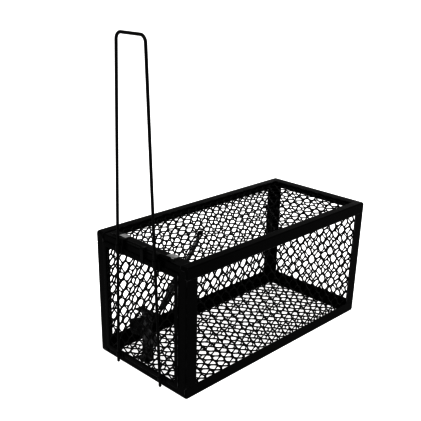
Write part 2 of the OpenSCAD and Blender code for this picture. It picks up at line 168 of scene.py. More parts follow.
def metal(name, dark, light, gloss, streak, painted=None):
    """Bare or plated steel: a brushed grain, darker handled patches and fine pits.
    painted gives two places along X: black paint covers the steel before the first."""
    mat, tree, shader, coords = new_material(name)
    stretch = tree.nodes.new("ShaderNodeMapping")
    stretch.inputs["Scale"].default_value = (1.0, streak, 1.0)
    link(tree, coords, stretch.inputs["Vector"])
    grain = noise_node(tree, stretch.outputs["Vector"], 700, 6, 0.7)
    patches = noise_node(tree, coords, 130, 4, 0.6)
    bright = ramp_node(tree, grain, [(0.35, dark), (0.65, light)])
    stained = ramp_node(tree, grain, [(0.35, dark * 0.35), (0.65, dark)])
    stain = ramp_node(tree, patches, [(0.5, 0.0), (0.68, 1.0)])
    colour = mix_node(tree, stain, bright, stained)
    if painted:
        parts = tree.nodes.new("ShaderNodeSeparateXYZ")
        link(tree, coords, parts.inputs["Vector"])
        cover = tree.nodes.new("ShaderNodeMapRange")
        cover.inputs["From Min"].default_value = painted[0]
        cover.inputs["From Max"].default_value = painted[1]
        link(tree, parts.outputs["X"], cover.inputs["Value"])
        black = ramp_node(tree, patches, [(0.3, 0.003), (0.7, 0.007)])
        colour = mix_node(tree, cover.outputs["Result"], black, colour)
    link(tree, colour, shader.inputs["Base Color"])
    shader.inputs["Metallic"].default_value = METALLIC
    link(tree, range_node(tree, patches, gloss, gloss + 0.2), shader.inputs["Roughness"])
    bump(tree, shader, grain, 0.35, GRAIN_DEPTH)
    return mat


def floor_material():
    """A pale floor lit a little from below, as on a light table."""
    mat, tree, shader, coords = new_material("studio_floor")
    cloud = noise_node(tree, coords, 1.5, 3)
    link(tree, ramp_node(tree, cloud, [(0.3, 0.35), (0.7, 0.37)]), shader.inputs["Base Color"])
    shader.inputs["Roughness"].default_value = 0.9
    shader.inputs["Emission Color"].default_value = (1, 1, 1, 1)
    shader.inputs["Emission Strength"].default_value = FLOOR_GLOW
    shader.inputs["Specular IOR Level"].default_value = 0.1
    return mat


strap_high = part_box("roof_strap_left")[1]
STRAP_PAINT_END = 7.4 * MM
STRAP_BARE_FROM = 6.6 * MM
MATERIALS = {
    "frame_paint": paint("frame_paint", 0.0016, 0.3, 0.5, 0.06, worn=0.5),
    "mesh_paint": paint("mesh_paint", 0.002, 0.26, 0.35, 0.08),
    "wire_paint": paint("wire_paint", 0.003, 0.3, 0.4, 0.12),
    "spring_wire": metal("spring_wire", 0.05, 0.12, 0.3, 1.0),
    "bare_steel": metal("bare_steel", 0.22, 0.5, 0.36, 0.12,
                        painted=(strap_high.x - STRAP_PAINT_END, strap_high.x - STRAP_BARE_FROM)),
}


# ---- Meshes ----

def finish_piece(name, bm, body, slot, nodes, sharp=35):
    """Turns a bmesh into a piece that rides on a body and stands for CAD nodes."""
    bmesh.ops.recalc_face_normals(bm, faces=bm.faces)
    mesh = bpy.data.meshes.new(name)
    bm.to_mesh(mesh)
    bm.free()
    mesh.polygons.foreach_set("use_smooth", [True] * len(mesh.polygons))
    mesh.set_sharp_from_angle(angle=radians(sharp))
    piece = bpy.data.objects.new(name, mesh)
    bpy.context.scene.collection.objects.link(piece)
    mesh.materials.append(MATERIALS[slot])
    if body:
        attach(piece, body)
    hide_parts(*nodes)
    return piece


def loft(bm, rings, closed=False, capped=True):
    """Joins rings of points, each a closed loop with the same count, into a skin."""
    rows = [[bm.verts.new(point) for point in ring] for ring in rings]
    count = len(rows[0])
    pairs = list(zip(rows, rows[1:]))
    if closed:
        pairs.append((rows[-1], rows[0]))
    for a, b in pairs:
        for i in range(count):
            j = (i + 1) % count
            bm.faces.new((a[i], a[j], b[j], b[i]))
    if capped and not closed:
        bm.faces.new(rows[0])
        bm.faces.new(rows[-1])


def arc(centre, radius, start, end, step=12.0):
    """Points along an arc in a plane. Angles are in degrees."""
    count = max(2, int(abs(end - start) / step + 0.999))
    angles = [radians(start + (end - start) * i / count) for i in range(count + 1)]
    return [(centre[0] + radius * cos(a), centre[1] + radius * sin(a)) for a in angles]


def rounded(points, radius, step=15.0):
    """An open path in a plane with its inner corners turned into arcs."""
    path = [Vector(points[0])]
    for before, corner, after in zip(points, points[1:], points[2:]):
        corner = Vector(corner)
        to_before = (Vector(before) - corner).normalized()
        to_after = (Vector(after) - corner).normalized()
        turn = pi - to_before.angle(to_after)
        reach = radius * tan(turn / 2)
        start = corner + to_before * reach
        centre = corner + (to_before + to_after).normalized() * (radius / cos(turn / 2))
        count = max(2, int(turn / radians(step) + 0.999))
        first = start - centre
        sign = 1 if to_before.x * to_after.y - to_before.y * to_after.x < 0 else -1
        for i in range(count + 1):
            a = sign * turn * i / count
            path.append(centre + Vector((
                first.x * cos(a) - first.y * sin(a), first.x * sin(a) + first.y * cos(a)
            )))
    path.append(Vector(points[-1]))
    return path


# ---- Angle sections: posts and rails ----

SHEET = 0.8 * MM
FOLD = 1.1 * MM
END_ROUND = 1.6 * MM
CORNER_ROUND = 2.8 * MM
EDGE_EASE = 0.14 * MM
FLAT_SUPPORT = 0.35 * MM
SEAM = 0.1 * MM
SEAM_CALM = 1.2 * MM
SHEET_GAP = 0.75 * MM
DEEP_FLANGE = 1.6 * MM
NARROW_FLANGE = 2.0 * MM
WIDE_FLANGE = 4.0 * MM
POST_FLANGE = 1.2 * MM
DOOR_GAP = 0.03 * MM
END_DEPTHS = [0.0, EDGE_EASE] + [CORNER_ROUND * share for share in (0.12, 0.25, 0.45, 0.7, 1.0)]

cage_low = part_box("post_door_right")[0]
cage_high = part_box("post_rear_left")[1]
cage_middle = (cage_low + cage_high) / 2


def curve_in(depth, radius):
    """How far a round corner lies inside the square one, at a depth from its end."""
    left = max(0.0, radius - depth)
    return radius - sqrt(radius ** 2 - left ** 2)


def angle_ring(width_a, width_b, ease):
    """The outline of an angle section with its outside corner at the origin."""
    near, far = ease, SHEET - ease
    half = (far - near) / 2
    flat_a, flat_b = width_a - half, width_b - half
    ring = [(FOLD + FLAT_SUPPORT, near), (flat_a - FLAT_SUPPORT, near)]
    ring += arc((flat_a, SHEET / 2), half, -90, 90, 30)
    ring += [(flat_a - FLAT_SUPPORT, far), (FOLD + FLAT_SUPPORT, far)]
    ring += arc((FOLD, FOLD), FOLD - far, -90, -180, 22.5)
    ring += [(far, FOLD + FLAT_SUPPORT), (far, flat_b - FLAT_SUPPORT)]
    ring += arc((SHEET / 2, flat_b), half, 0, 180, 30)
    ring += [(near, flat_b - FLAT_SUPPORT), (near, FOLD + FLAT_SUPPORT)]
    ring += arc((FOLD, FOLD), FOLD - near, 180, 270, 15)
    return ring


def angle_piece(node, along, stations):
    """A folded sheet angle along an axis. A station holds its position, the fold's place on the
    other two axes, the flanges' free edges there, its depth from the end, and how far the end
    lifts away from the fold."""
    a, b = [i for i in range(3) if i != along]
    rings = []
    for position, fold, free, depth, lift in stations:
        in_a = 1 if free[0] > fold[0] else -1
        in_b = 1 if free[1] > fold[1] else -1
        cut = curve_in(depth, END_ROUND)
        ease = EDGE_EASE * max(0.0, 1 - depth / EDGE_EASE)
        ring = []
        for u, v in angle_ring(abs(free[0] - fold[0]) - cut, abs(free[1] - fold[1]) - cut, ease):
            point = [0.0, 0.0, 0.0]
            point[along] = position + lift * curve_in(u, CORNER_ROUND)
            point[a] = fold[0] + in_a * u
            point[b] = fold[1] + in_b * v
            ring.append(point)
        rings.append(ring)
    bm = bmesh.new()
    loft(bm, rings)
    finish_piece("angle_" + node, bm, "cage", "frame_paint", [node])


def end_stations(low, high, depths):
    """Positions from one end to the other: each with its depth from the nearer end and its side."""
    first = [(low + depth, depth, 1) for depth in depths]
    return first + [(high - depth, depth, -1) for depth in reversed(depths)]


def outer_and_inner(low, high, middle):
    """The face away from the middle first, then the other."""
    return (low, high) if low + high < 2 * middle else (high, low)


def cross_rail(node):
    """A rail between two posts, at the door or at the rear. The straps need the one at the door's
    top where the CAD has it; the others come level with the long rails."""
    low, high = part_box(node)
    fold_x, free_x = outer_and_inner(low.x, high.x, cage_middle.x)
    fold_z, free_z = outer_and_inner(low.z, high.z, cage_middle.z)
    if node == "roof_rail_door":
        free_x += WIDE_FLANGE
    else:
        fold_z += SHEET_GAP * (1 if fold_z > free_z else -1)
    angle_piece(node, Y, [
        (y, (fold_x, fold_z), (free_x, free_z), depth, 0.0)
        for y, depth, _ in end_stations(low.y, high.y, END_DEPTHS)
    ])


def long_rail(node):
    """A rail down one side. It runs over the posts and its ends curve round the cage's corners."""
    low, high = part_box(node)
    _, free_y = outer_and_inner(low.y, high.y, cage_middle.y)
    side = -1 if free_y < cage_middle.y else 1
    face_y = cage_high.y if side > 0 else cage_low.y
    face_z, free_z = outer_and_inner(low.z, high.z, cage_middle.z)
    if free_z < face_z:
        free_z -= DEEP_FLANGE
        free_y += side * NARROW_FLANGE
    up = 1 if free_z > face_z else -1
    stations = []
    for x, depth, _ in end_stations(cage_low.x, cage_high.x, END_DEPTHS):
        fold = (face_y - side * curve_in(depth, FOLD), face_z + up * curve_in(depth, CORNER_ROUND))
        stations.append((x, fold, (free_y, free_z), depth, 0.0))
    angle_piece(node, X, stations)


def post(node):
    """A corner post. Its ends tuck behind the long rails, and its edge reaches to the door."""
    low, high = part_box(node)
    fold_x, free_x = outer_and_inner(low.x, high.x, cage_middle.x)
    fold_y, free_y = outer_and_inner(low.y, high.y, cage_middle.y)
    tucked_y = fold_y + SHEET * (1 if free_y > fold_y else -1)
    floor_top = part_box("floor_rail_right")[1].z
    roof_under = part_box("roof_rail_right")[0].z - DEEP_FLANGE
    free_x += POST_FLANGE * (1 if free_x > fold_x else -1)
    if node == "post_door_right":
        free_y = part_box("door_border_right")[0].y - DOOR_GAP
    if node == "post_door_left":
        free_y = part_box("door_border_left")[1].y + DOOR_GAP
    tucked = []
    depths = END_DEPTHS + [2 * CORNER_ROUND]
    for z, depth, side in end_stations(low.z + SHEET, high.z - SHEET, depths):
        lift = side * max(0.0, 1 - depth / (2 * CORNER_ROUND))
        tucked.append((z, (fold_x, tucked_y), (free_x, free_y), depth, lift))
    half = len(tucked) // 2
    seams = []
    for seam_z, below_y, above_y in ((floor_top, tucked_y, fold_y), (roof_under, fold_y, tucked_y)):
        for off in (-SEAM_CALM, -SEAM, SEAM, SEAM_CALM):
            seam_y = below_y if off < 0 else above_y
            seams.append((seam_z + off, (fold_x, seam_y), (free_x, free_y), END_ROUND, 0.0))
    angle_piece(node, Z, tucked[:half] + seams + tucked[half:])


# ---- Mesh panels ----

PITCH = 10.53 * MM
ROW = 9.35 * MM
SKEW = 0.68
CROSS_SHARE = 0.65
SIDE_STEPS = 3
CORNER_POWER = 5.5
STRAND_ANGLES = (90, 50, 0, -50, -90)
STRAND_FILL = 0.93
WOBBLE = 0.3 * MM
WOBBLE_SCALE = 140.0
WOBBLE_SEED = 7
WOBBLE_OUT = 0.15
WELD = 0.01 * MM
CUT_MARGIN = 1e-7
# For each lean, the row and column steps to the cells across the six sides, in the sides' order.
NEIGHBOURS = {
    1: [(1, 0), (1, -1), (0, -1), (-1, 0), (-1, 1), (0, 1)],
    -1: [(1, 1), (1, 0), (0, -1), (-1, -1), (-1, 0), (0, 1)],
}

noise.seed_set(WOBBLE_SEED)


def cell_outline(lean):
    """The corners of the cell round one opening, in order, and each side's share of the strand
    width. Between even cells and straight rows the cells lean over and the strands run on."""
    along = Vector((PITCH, 0))
    up = Vector((PITCH / 3, ROW))
    even = Vector((PITCH / 2, (up.x ** 2 + ROW ** 2 - PITCH * up.x) / (2 * ROW)))
    a = even.lerp((along + up) / 4, SKEW)
    b = up - a
    c = a - along
    shares = [1, CROSS_SHARE, 1]
    if lean < 0:
        a, b, c = [Vector((-p.x, p.y)) for p in (c, b, a)]
        shares = [CROSS_SHARE, 1, 1]
    return [a, b, c, -a, -b, -c], shares * 2


def cell_rays(lean, strand):
    """For points along the cell's sides: the point, its side, and the rounded opening's point."""
    corners, shares = cell_outline(lean)
    sides = list(zip(corners, corners[1:] + corners[:1]))
    limits = []
    for (p, q), share in zip(sides, shares):
        n = Vector((q.y - p.y, p.x - q.x)).normalized()
        limits.append((n, n.dot(p) - strand * share / 2))
    rays = []
    for index, (p, q) in enumerate(sides):
        for step in range(SIDE_STEPS):
            edge = p.lerp(q, step / SIDE_STEPS)
            direction = edge.normalized()
            total = sum(max(0.0, n.dot(direction) / d) ** CORNER_POWER for n, d in limits)
            rays.append((edge, index, direction * total ** (-1 / CORNER_POWER)))
    return rays


def mesh_panel(node, u, v, lean, strand, shift=(0, 0), body="cage", joined=()):
    """Expanded mesh with round strands that fills its CAD node's box, in the plane of axes u and v.
    shift is the first cell's place from the middle, and joined names the cells, by row and column
    from that one, that open into each other."""
    low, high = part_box(node)
    w = 3 - u - v
    middle = (low + high) / 2
    thick = (high[w] - low[w]) / 2
    origin = (middle[u] + shift[0], middle[v] + shift[1])
    rays = cell_rays(lean, strand)
    rows = int((high[v] - low[v]) / ROW / 2) + 2
    columns = int((high[u] - low[u]) / PITCH) + rows
    bm = bmesh.new()
    for row in range(-rows, rows + 1):
        for column in range(-columns, columns + 1):
            cu = origin[0] + (column + lean * row / 3) * PITCH
            cv = origin[1] + row * ROW
            if not (low[u] - PITCH < cu < high[u] + PITCH and low[v] - ROW < cv < high[v] + ROW):
                continue
            loops = []
            for angle in STRAND_ANGLES:
                loop = []
                for edge, _, opening in rays:
                    flat = edge.lerp(opening, cos(radians(angle)))
                    point = [0.0, 0.0, 0.0]
                    point[u] = cu + flat.x
                    point[v] = cv + flat.y
                    point[w] = middle[w] + thick * STRAND_FILL * sin(radians(angle))
                    loop.append(bm.verts.new(point))
                loops.append(loop)
            gone = set()
            if (row, column) in joined:
                steps = enumerate(NEIGHBOURS[lean])
                gone = {side for side, (up, on) in steps if (row + up, column + on) in joined}
            for outer, inner in zip(loops, loops[1:]):
                for i in range(len(rays)):
                    if rays[i][1] in gone:
                        continue
                    j = (i + 1) % len(rays)
                    bm.faces.new((outer[i], outer[j], inner[j], inner[i]))
    bmesh.ops.remove_doubles(bm, verts=bm.verts, dist=WELD)
    bmesh.ops.delete(bm, geom=[p for p in bm.verts if not p.link_faces], context="VERTS")
    for vert in bm.verts:
        push = noise.noise_vector(vert.co * WOBBLE_SCALE) * WOBBLE
        push[w] *= WOBBLE_OUT
        vert.co += push
    for axis, limit, side in ((u, low, -1), (u, high, 1), (v, low, -1), (v, high, 1)):
        normal = Vector((0, 0, 0))
        normal[axis] = side
        point = Vector(middle)
        point[axis] = limit[axis]
        geom = list(bm.verts) + list(bm.edges) + list(bm.faces)
        bmesh.ops.bisect_plane(
            bm, geom=geom, dist=CUT_MARGIN, plane_co=point, plane_no=normal, clear_outer=True,
        )
    bmesh.ops.holes_fill(bm, edges=[e for e in bm.edges if e.is_boundary], sides=0)
    return finish_piece("weave_" + node, bm, body, "mesh_paint", [node], sharp=60)


# ---- Bent strips and flat plates ----

def ease_edges(bm, width, limit=50):
    """Rounds the sheared edges of a strip or plate."""
    sharp = [e for e in bm.edges if e.is_manifold and e.calc_face_angle(0) > radians(limit)]
    bmesh.ops.bevel(
        bm, geom=sharp, offset=width, segments=2, affect="EDGES", profile=0.5, clamp_overlap=True,
    )


def strip_mesh(path, thickness, spans, place):
    """A strip of sheet bent along a path in a plane. Each path point has a span across the strip."""
    bm = bmesh.new()
    rings = []
    path = [Vector(p) for p in path]
    for i, point in enumerate(path):
        before = (point - path[i - 1]).normalized() if i else None
        after = (path[i + 1] - point).normalized() if i + 1 < len(path) else None
        run = (before or after) + (after or before)
        normal = Vector((-run.y, run.x)).normalized()
        lean = normal.dot(Vector((-(before or after).y, (before or after).x)))
        offset = normal * (thickness / 2 / lean)
        low, high = spans[i] if isinstance(spans, list) else spans
        a, b = point + offset, point - offset
        rings.append([place(a, low), place(a, high), place(b, high), place(b, low)])
    loft(bm, rings)
    return bm


def in_side_plane(p, across):
    """Puts a point drawn in the XZ plane at a place across the cage."""
    return Vector((p[0], across, p[1]))


def plate_mesh(loops, thickness, place, ease):
    """A flat plate with the outline of the first loop and a hole for each other loop."""
    bm = bmesh.new()
    for loop in loops:
        verts = [bm.verts.new(place(p, 0.0)) for p in loop]
        for a, b in zip(verts, verts[1:] + verts[:1]):
            bm.edges.new((a, b))
    bmesh.ops.triangle_fill(bm, use_beauty=True, use_dissolve=False, edges=bm.edges)
    faces = list(bm.faces)
    grown = bmesh.ops.extrude_face_region(bm, geom=faces)
    step = place((0, 0), thickness) - place((0, 0), 0.0)
    moved = [g for g in grown["geom"] if isinstance(g, bmesh.types.BMVert)]
    bmesh.ops.translate(bm, vec=step, verts=moved)
    bmesh.ops.recalc_face_normals(bm, faces=bm.faces)
    ease_edges(bm, ease)
    return bm


# ---- Wires ----

DOME_ANGLES = (75, 50, 25)


def tube_mesh(bm, path, radius, sides=16, closed=False):
    """A round wire along points in space, with domed ends unless it is closed."""
    path = [Vector(p) for p in path]
    count = len(path)
    tangents = []
    for i in range(count):
        ahead = path[(i + 1) % count] if closed or i + 1 < count else path[i]
        behind = path[i - 1] if closed or i else path[i]
        tangents.append((ahead - behind).normalized())
    side = tangents[0].orthogonal().normalized()
    rings = []

    def ring(centre, tangent, side, size):
        other = tangent.cross(side)
        turns = [2 * pi * k / sides for k in range(sides)]
        return [centre + (side * cos(a) + other * sin(a)) * size for a in turns]

    for centre, tangent in zip(path, tangents):
        side = (side - tangent * side.dot(tangent)).normalized()
        rings.append(ring(centre, tangent, side, radius))
        if not closed and len(rings) == 1:
            first_side = side
    if not closed:
        for a in [radians(angle) for angle in reversed(DOME_ANGLES)]:
            out, size = radius * sin(a), radius * cos(a)
            rings.insert(0, ring(path[0] - tangents[0] * out, tangents[0], first_side, size))
            rings.append(ring(path[-1] + tangents[-1] * out, tangents[-1], side, size))
    loft(bm, rings, closed=closed)


def wire_piece(name, path, radius, body, slot, nodes):
    bm = bmesh.new()
    tube_mesh(bm, path, radius)
    return finish_piece(name, bm, body, slot, nodes, sharp=60)


# ---- The cage ----

pivot_low, pivot_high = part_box("hook_pivot_wire")
pivot = (pivot_low + pivot_high) / 2

for level in ("floor", "roof"):
    for side in ("door", "rear"):
        cross_rail(f"{level}_rail_{side}")
    for side in ("left", "right"):
        long_rail(f"{level}_rail_{side}")
for end in ("door", "rear"):
    for side in ("left", "right"):
        post(f"post_{end}_{side}")

SLOT_AHEAD = 2.8 * MM
roof_low, roof_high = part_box("mesh_roof")
slot_x = pivot.x - SLOT_AHEAD - (roof_low.x + roof_high.x) / 2
slot = {(0, 0), (0, 1), (1, 1)}
mesh_panel("mesh_roof", X, Y, -1, 0.85 * MM, (slot_x, -2.9 * MM), joined=slot)
mesh_panel("mesh_floor", X, Y, 1, 1.2 * MM, (-3.7 * MM, 3.9 * MM))
mesh_panel("mesh_left", X, Z, -1, 1.25 * MM, (2.1 * MM, -0.8 * MM))
mesh_panel("mesh_right", X, Z, 1, 1.15 * MM, (-2.4 * MM, 2.4 * MM))
mesh_panel("mesh_rear", Y, Z, 1, 1.05 * MM, (-4.6 * MM, -1.5 * MM))
mesh_panel("door_mesh", Y, Z, 1, 1.2 * MM, (5.3 * MM, 3.1 * MM), body="door")

# ---- Hinge ----

HINGE_GAP = 0.05 * MM
STRAP_FLAT = 2 * MM
STRAP_TAPER = 0.8 * MM
STRAP_EASE = 0.12 * MM

hinge_low, hinge_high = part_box("hinge_wire")
hinge = (hinge_low + hinge_high) / 2
hinge_r = (hinge_high.z - hinge_low.z) / 2
bore_r = hinge_r + HINGE_GAP
wire_piece(
    "hinge_rod",
    [(hinge.x, y, hinge.z) for y in (hinge_low.y + hinge_r, hinge.y, hinge_high.y - hinge_r)],
    hinge_r, "cage", "wire_paint", ["hinge_wire"],
)


def roof_strap(node):
    """A strap whose bare foot lies on the roof rail and whose painted end rolls round the hinge."""
    low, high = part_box(node)
    roll_r = bore_r + SHEET / 2
    foot = high.x + WIDE_FLANGE
    path = [Vector((foot, hinge.z - roll_r)), Vector((foot - STRAP_FLAT, hinge.z - roll_r))]
    path += [Vector(p) for p in arc((hinge.x, hinge.z), roll_r, -90, -400, 15)]
    taper = [STRAP_TAPER, 0.0] + [0.0] * (len(path) - 2)
    spans = [(low.y + cut, high.y - cut) for cut in taper]
    bm = strip_mesh(path, SHEET, spans, in_side_plane)
    ease_edges(bm, STRAP_EASE)
    finish_piece("rolled_" + node, bm, "cage", "bare_steel", [node])


roof_strap("roof_strap_left")
roof_strap("roof_strap_right")

LOOP_SHEET = 0.65 * MM
LOOP_BEND = 1.4 * MM
LOOP_EASE = 0.1 * MM
LOOP_RING_W = 6.8 * MM
PLATE_TOP = 126 * MM
PLATE_CUT = 0.6 * MM
PLATE_CUT_HEIGHT = 0.8 * MM
PLATE_EDGE = 0.4 * MM


def door_loop(node, ring_span):
    """A strip that rises from the door's top border and rolls over the hinge wire."""
    low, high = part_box(node)
    roll_r = bore_r + LOOP_SHEET / 2
    face_x = low.x + LOOP_SHEET / 2
    turn = [(face_x, PLATE_TOP + MM), (face_x, hinge.z + roll_r), (hinge.x, hinge.z + roll_r)]
    path = rounded(turn, LOOP_BEND)
    path += [Vector(p) for p in arc((hinge.x, hinge.z), roll_r, 90, -200, 15)[1:]]
    plate = [(low.z, PLATE_CUT), (low.z + PLATE_CUT_HEIGHT, 0.0), (PLATE_TOP - PLATE_EDGE, 0.0)]
    spans = [(low.y + cut, high.y - cut) for _, cut in plate]
    spans += [ring_span] * len(path)
    path = [Vector((face_x, z)) for z, _ in plate] + path
    bm = strip_mesh(path, LOOP_SHEET, spans, in_side_plane)
    ease_edges(bm, LOOP_EASE)
    finish_piece("rolled_" + node, bm, "door", "wire_paint", [node])


for node, inner_end in (("door_loop_left", "low"), ("door_loop_right", "high"), ("door_loop_middle", None)):
    low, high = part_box(node)
    ring_span = (low.y, high.y)
    if inner_end == "low":
        ring_span = (low.y, low.y + LOOP_RING_W)
    if inner_end == "high":
        ring_span = (high.y - LOOP_RING_W, high.y)
    door_loop(node, ring_span)

# ---- Door ----

BORDER_ROLL = 0.75 * MM
INNER_ROLL = 0.45 * MM
DOOR_CORNER = 2.2 * MM


def door_border():
    """Sheet folded over the mesh's four edges: a flat channel with rolled edges and round corners."""
    low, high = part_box("door_border_bottom")
    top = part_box("door_border_top")[1]
    width = high.z - low.z
    depth = high.x - low.x
    section = []
    for cu, cx, start in ((1, 1, 0), (0, 1, 90), (0, 0, 180), (1, 0, 270)):
        size = BORDER_ROLL if cu else INNER_ROLL
        centre_u = width - size if cu else size
        centre_x = depth - size if cx else size
        section += arc((centre_u, centre_x), size, start, start + 90, 18)
    y1, z0, z1 = high.y, low.z, top.z
    corners = [(y1, z0, -90), (y1, z1, 0), (-y1, z1, 90), (-y1, z0, 180)]
    rings = []
    for cy, cz, start in corners:
        side_y = 1 if cy > 0 else -1
        side_z = 1 if cz > z0 else -1
        centre = (cy - DOOR_CORNER * side_y, cz - DOOR_CORNER * side_z)
        for step in range(7):
            angle = radians(start + 15 * step)
            out = Vector((cos(angle), sin(angle)))
            ring = []
            for u, x in section:
                reach = DOOR_CORNER - width + u
                across = reach * out.x
                up = reach * out.y
                if reach < 0:
                    # inside the corner's centre the border keeps its mitre
                    across = reach * side_y
                    up = reach * side_z
                ring.append((low.x + x, centre[0] + across, centre[1] + up))
            rings.append(ring)
    bm = bmesh.new()
    loft(bm, rings, closed=True)
    bmesh.ops.remove_doubles(bm, verts=bm.verts, dist=0.001 * MM)
    sides = ["door_border_top", "door_border_bottom", "door_border_left", "door_border_right"]
    finish_piece("door_border", bm, "door", "frame_paint", sides, sharp=50)


door_border()


STRUT_BEND = 1.3 * MM
STRUT_EASE = 0.14 * MM


def strut():
    """A channel that stands off the door's mesh."""
    low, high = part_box("door_strut")
    half = SHEET / 2
    path = rounded([
        (low.x, low.z + half), (high.x - half, low.z + half),
        (high.x - half, high.z - half), (low.x, high.z - half),
    ], STRUT_BEND)
    bm = strip_mesh(path, SHEET, (low.y, high.y), in_side_plane)
    ease_edges(bm, STRUT_EASE)
    finish_piece("channel_strut", bm, "door", "frame_paint", ["door_strut"])


strut()

# ---- Spring bracket ----

TAB_R = 2.6 * MM
HOLE_R = 1.3 * MM
TAB_T = 1.0 * MM
TAB_EASE = 0.1 * MM
PIVOT_TAB_T = 2 * MM
PIVOT_HOLE_R = 1.02 * MM
WING_EASE = 0.14 * MM
WING_ROUND = 0.9 * MM
WING_HEIGHT = 8 * MM
FOOT_TAB_DROP = 9 * MM
bracket_low, bracket_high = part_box("spring_bracket")
foot_hole = (bracket_high.x - TAB_R, bracket_high.z - TAB_R)
anchor_low, anchor_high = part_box("spring_anchor")
top_hole = ((anchor_low.x + anchor_high.x) / 2, anchor_low.z + TAB_R)


def closed_round(points, radius):
    """A closed outline with round corners."""
    ends = [Vector(points[-1]), *[Vector(p) for p in points], Vector(points[0])]
    return [p for p in rounded(ends, radius, 30)[1:-1]]


def on_bracket(p, out):
    return Vector((bracket_low.x + out, p[0], p[1]))


def on_middle(half):
    return lambda p, out: Vector((p[0], out - half, p[1]))


def hole(centre, radius=HOLE_R):
    return arc(centre, radius, 0, 345, 15)


def spring_bracket():
    """A winged plate welded on the strut, and the tab that takes the spring."""
    z = bracket_low.z + WING_HEIGHT
    outline = [
        (-13, -2), (-9, -8), (6, -4), (24, -8), (28, -4), (25, 0),
        (28, 4), (24, 8), (4, 18), (-4, 18), (-9, 8),
    ]
    outline = [(y * MM, z + up * MM) for y, up in outline]
    bm = plate_mesh([closed_round(outline, WING_ROUND)], SHEET, on_bracket, WING_EASE)
    tab_x = bracket_low.x + SHEET
    tab = [(tab_x, foot_hole[1] + TAB_R), (tab_x, foot_hole[1] - FOOT_TAB_DROP)]
    under = (foot_hole[0], foot_hole[1] - FOOT_TAB_DROP - TAB_R)
    tab += arc(under, FOOT_TAB_DROP, 150, 92, 15)[1:]
    tab += arc(foot_hole, TAB_R, -85, 90, 15)
    flat = plate_mesh([tab, hole(foot_hole)], TAB_T, on_middle(TAB_T / 2), TAB_EASE)
    part = bpy.data.meshes.new("tab")
    flat.to_mesh(part)
    flat.free()
    bm.from_mesh(part)
    bpy.data.meshes.remove(part)
    finish_piece("winged_bracket", bm, "door", "frame_paint", ["spring_bracket"])


def hanging_tab(name, centre, radius, top_z, across, thickness, hole_r, node):
    """A tab with a round lower end and a hole, cut from sheet."""
    round_end = arc(centre, radius, 180, 360, 15)
    tab = [(centre[0] - radius, top_z)] + round_end + [(centre[0] + radius, top_z)]

    def place(p, out):
        return Vector((p[0], across + out, p[1]))

    bm = plate_mesh([tab, hole(centre, hole_r)], thickness, place, TAB_EASE)
    return finish_piece(name, bm, "cage", "frame_paint", [node])


spring_bracket()
hanging_tab("anchor_tab", top_hole, TAB_R, anchor_high.z, -TAB_T / 2, TAB_T, HOLE_R, "spring_anchor")
tabs_low, tabs_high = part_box("hook_pivot_tabs")
for name, across in (("pivot_tab_left", tabs_high.y - PIVOT_TAB_T), ("pivot_tab_right", tabs_low.y)):
    hanging_tab(
        name, (pivot.x, pivot.z), (tabs_high.x - tabs_low.x) / 2, tabs_high.z,
        across, PIVOT_TAB_T, PIVOT_HOLE_R, "hook_pivot_tabs",
    )

# ---- Spring ----

SPRING_R = 2.5 * MM
SPRING_WIRE = 0.5 * MM
EYE_R = 2.2 * MM
COIL_MEAN = SPRING_R - SPRING_WIRE
COIL_PITCH = 1.07 * MM
COIL_STEPS = 14
DRAWN_WIRE = SPRING_WIRE * 0.98
EYE_STEPS = 20
EYE_SIDESTEP = 0.25 * MM
foot = Vector((foot_hole[0], 0, foot_hole[1]))
head = Vector((top_hole[0], 0, top_hole[1]))
spring_axis = (head - foot).normalized()
spring_len = (head - foot).length
spring_side = spring_axis.cross(Vector((0, 1, 0))).normalized()
spring_place = Matrix((
    (spring_side.x, 0, spring_axis.x, foot.x),
    (spring_side.y, 1, spring_axis.y, foot.y),
    (spring_side.z, 0, spring_axis.z, foot.z),
    (0, 0, 0, 1),
))


def eye_path(z, side):
    """The wire from the end of the coil up round an eye, whose far point lies in the tab's hole."""
    centre = z + side * EYE_R
    path = []
    for step in range(EYE_STEPS + 1):
        share = step / EYE_STEPS
        a = radians(-90 + 330 * share)
        path.append(Vector((EYE_SIDESTEP * share, EYE_R * cos(a), centre - side * EYE_R * sin(a))))
    return path


def spring():
    """A close-wound coil with an eye at its upper end, and the lower eye as a piece of its own."""
    start = 2 * EYE_R + SPRING_WIRE
    length = spring_len - 2 * start
    turns = int(length / COIL_PITCH)
    count = turns * COIL_STEPS
    coil = []
    for i in range(count + 1):
        a = 2 * pi * i / COIL_STEPS
        coil.append(Vector((COIL_MEAN * cos(a), COIL_MEAN * sin(a), start + length * i / count)))
    bm = bmesh.new()
    tube_mesh(bm, [spring_place @ p for p in coil], DRAWN_WIRE, 8)
    upper = [spring_place @ p for p in eye_path(spring_len, -1)]
    join = [spring_place @ Vector((COIL_MEAN * 0.7, -0.5 * MM, spring_len - start))]
    tube_mesh(bm, join + upper, DRAWN_WIRE, 10)
    piece = finish_piece("coil_spring", bm, None, "spring_wire", ["closing_spring"], sharp=60)
    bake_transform(piece)
    lower = [spring_place @ p for p in eye_path(0.0, 1)]
    wire_piece("spring_eye_lower", lower, DRAWN_WIRE, "spring_end", "spring_wire",
               ["spring_lower_loop"])


spring()

# ---- Lever ----

lever_low, lever_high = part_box("lever")
LEVER_R = 1.2 * MM
LEVER_BEND = 6 * MM
LEVER_FOOT_Y = 30.5 * MM
LEVER_TOP_Y = 17.7 * MM
LEVER_RISE = 308 * MM
LEVER_STEP = 12 * MM
LEVER_SLOPE = (LEVER_FOOT_Y - LEVER_TOP_Y) / LEVER_RISE
lever_x = lever_low.x + LEVER_R


def leg_y(z):
    return LEVER_FOOT_Y - LEVER_SLOPE * z


